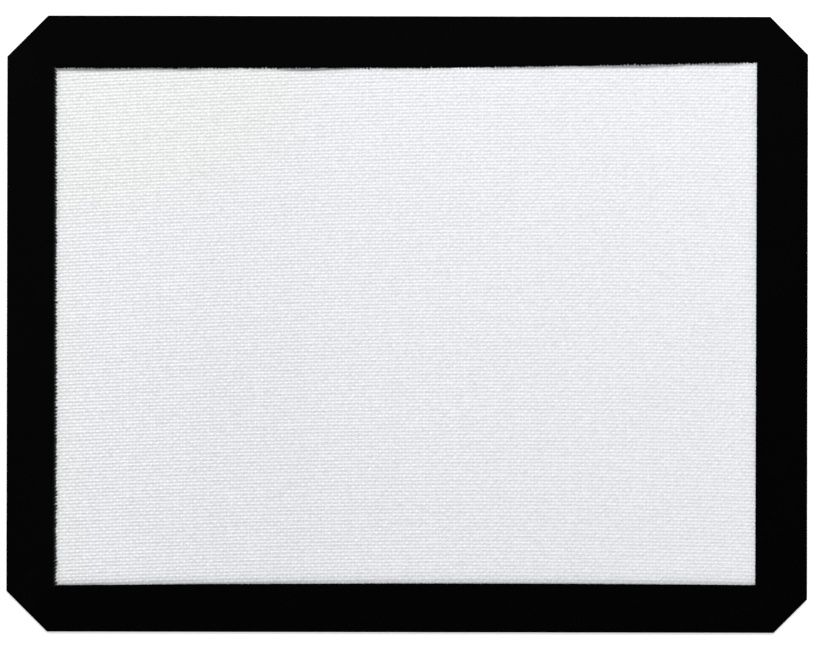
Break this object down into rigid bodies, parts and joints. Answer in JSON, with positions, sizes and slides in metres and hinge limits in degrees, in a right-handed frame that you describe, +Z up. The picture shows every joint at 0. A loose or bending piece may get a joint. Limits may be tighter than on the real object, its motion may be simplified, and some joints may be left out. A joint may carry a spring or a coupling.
{
  "type": "silicone baking mat",
  "caption": "Thin flexible oven mat: woven glass-fibre cloth coated in milky silicone, with a black silicone border on both faces and cut corners.",
  "frame": {"origin": "middle of the underside, on the surface that the mat lies on", "axes": "+X along the long side, +Y along the short side towards the far edge, +Z up out of the front face"},
  "size_m": [0.2794, 0.215, 0.0009],
  "materials": {
    "glass_cloth": "satin",
    "milky_silicone": "satin",
    "black_silicone": "satin"
  },
  "bodies": {
    "root": {"glass_cloth": "glass_cloth", "front_coat": "milky_silicone", "back_coat": "milky_silicone", "front_border": "black_silicone", "back_border": "black_silicone", "edge_seal": "black_silicone"}
  },
  "joints": []
}
